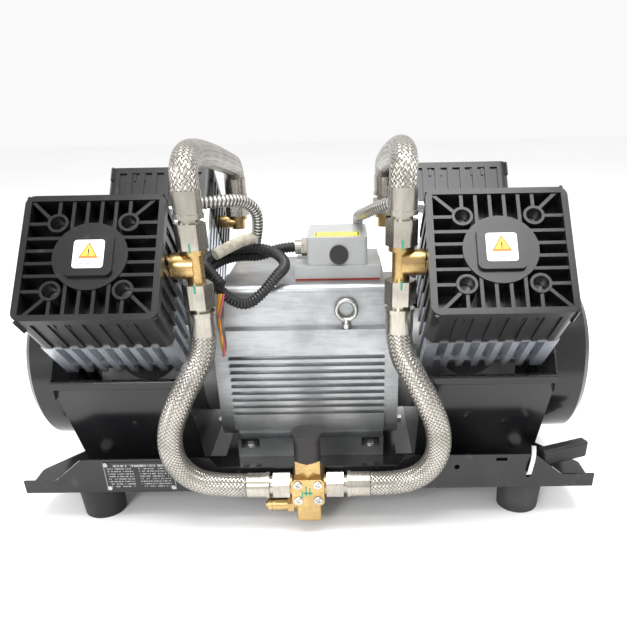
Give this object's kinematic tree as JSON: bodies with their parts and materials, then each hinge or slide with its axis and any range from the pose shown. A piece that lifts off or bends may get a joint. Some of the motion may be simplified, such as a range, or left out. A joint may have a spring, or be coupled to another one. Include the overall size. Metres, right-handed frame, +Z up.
{
  "type": "twin-head oil-free air compressor pump",
  "caption": "Oil-free air compressor: finned motor in the middle, finned V-set cylinders, fan drum and black air guide at each end, on a tray with rubber feet.",
  "frame": {"origin": "on the floor, under the middle of the shaft", "axes": "+X along the shaft to the end with the capacitor, -Y to the front with the manifold block, +Z up"},
  "size_m": [0.63, 0.4232, 0.3902],
  "materials": {
    "black_sheet": "gloss black powder coat",
    "rubber": "matte",
    "zinc_steel": "zinc plated",
    "nameplate_metal": "satin",
    "black_plastic": "moulded",
    "motor_aluminium": "natural extrusion",
    "steel": "machined",
    "copper": "enamelled copper wire",
    "grey_paint": "satin silver-grey paint",
    "red_rubber": "matte",
    "nickel": "nickel plated",
    "cast_aluminium": "cast",
    "bright_fins": "bright cast",
    "black_casting": "satin black coat on cast aluminium",
    "piston_metal": "machined",
    "braid": "woven stainless wire",
    "spiral_metal": "spiral wound",
    "black_tube": "corrugated",
    "brass": "machined"
  },
  "bodies": {
    "frame": {"air_guide_left": "black_sheet", "air_guide_right": "black_sheet", "arch_hose_left": "braid", "arch_hose_right": "braid", "base_tray": "black_sheet", "blanking_plug": "black_plastic", "cable_gland": "nickel", "conduit_left": "spiral_metal", "conduit_right": "spiral_metal", "crankcase_left": "cast_aluminium", "crankcase_right": "cast_aluminium", "cylinder_left_front": "bright_fins", "cylinder_left_rear": "bright_fins", "cylinder_right_front": "bright_fins", "cylinder_right_rear": "bright_fins", "end_shield_left": "motor_aluminium", "end_shield_right": "motor_aluminium", "eye_bolt": "zinc_steel", "fan_drum_left": "black_sheet", "fan_drum_right": "black_sheet", "feed_hose_left": "braid", "feed_hose_right": "braid", "head_bolts": "zinc_steel", "head_left_front": "black_casting", "head_left_rear": "black_casting", "head_right_front": "black_casting", "head_right_rear": "black_casting", "head_tees": "brass", "hose_ferrules": "nickel", "hose_nuts": "nickel", "manifold_block": "brass", "manifold_fittings": "brass", "motor_bearings": "steel", "motor_housing": "motor_aluminium", "nameplate": "nameplate_metal", "rear_elbows": "brass", "relief_valve": "brass", "rubber_feet": "rubber", "run_capacitor": "black_plastic", "shield_bolts": "zinc_steel", "stator_core": "steel", "stator_windings": "copper", "terminal_base": "grey_paint", "terminal_block": "black_plastic", "terminal_gasket": "red_rubber", "terminal_lid": "grey_paint", "tray_bolts": "zinc_steel", "valve_plates": "steel", "wiring_loom": "black_tube"},
    "crankshaft": {"shaft": "steel", "rotor_core": "steel", "eccentrics": "steel", "fan_left": "black_plastic", "fan_right": "black_plastic"},
    "piston_left_front": {"piston_left_front": "piston_metal"},
    "piston_left_rear": {"piston_left_rear": "piston_metal"},
    "piston_right_front": {"piston_right_front": "piston_metal"},
    "piston_right_rear": {"piston_right_rear": "piston_metal"},
    "pull_knob": {"relief_knob": "brass"},
    "cap": {"outlet_cap": "black_plastic"}
  },
  "joints": [
    {"name": "shaft_spin", "type": "hinge", "parent": "frame", "child": "crankshaft", "pos_m": [0, 0, 0.136], "axis": [1, 0, 0], "continuous": true},
    {"name": "stroke_left_front", "type": "slide", "parent": "frame", "child": "piston_left_front", "axis": [0, -0.7071, 0.7071], "range_m": [0, 0.014]},
    {"name": "stroke_left_rear", "type": "slide", "parent": "frame", "child": "piston_left_rear", "axis": [0, 0.7071, 0.7071], "range_m": [0, 0.014]},
    {"name": "stroke_right_front", "type": "slide", "parent": "frame", "child": "piston_right_front", "axis": [0, -0.7071, 0.7071], "range_m": [0, 0.014]},
    {"name": "stroke_right_rear", "type": "slide", "parent": "frame", "child": "piston_right_rear", "axis": [0, 0.7071, 0.7071], "range_m": [0, 0.014]},
    {"name": "relief_pull", "type": "slide", "parent": "frame", "child": "pull_knob", "axis": [-1, 0, 0], "range_m": [0, 0.004], "stiffness_N_per_m": 600},
    {"name": "cap_lift", "type": "slide", "parent": "frame", "child": "cap", "axis": [0, 0, 1], "range_m": [0, 0.03]}
  ]
}
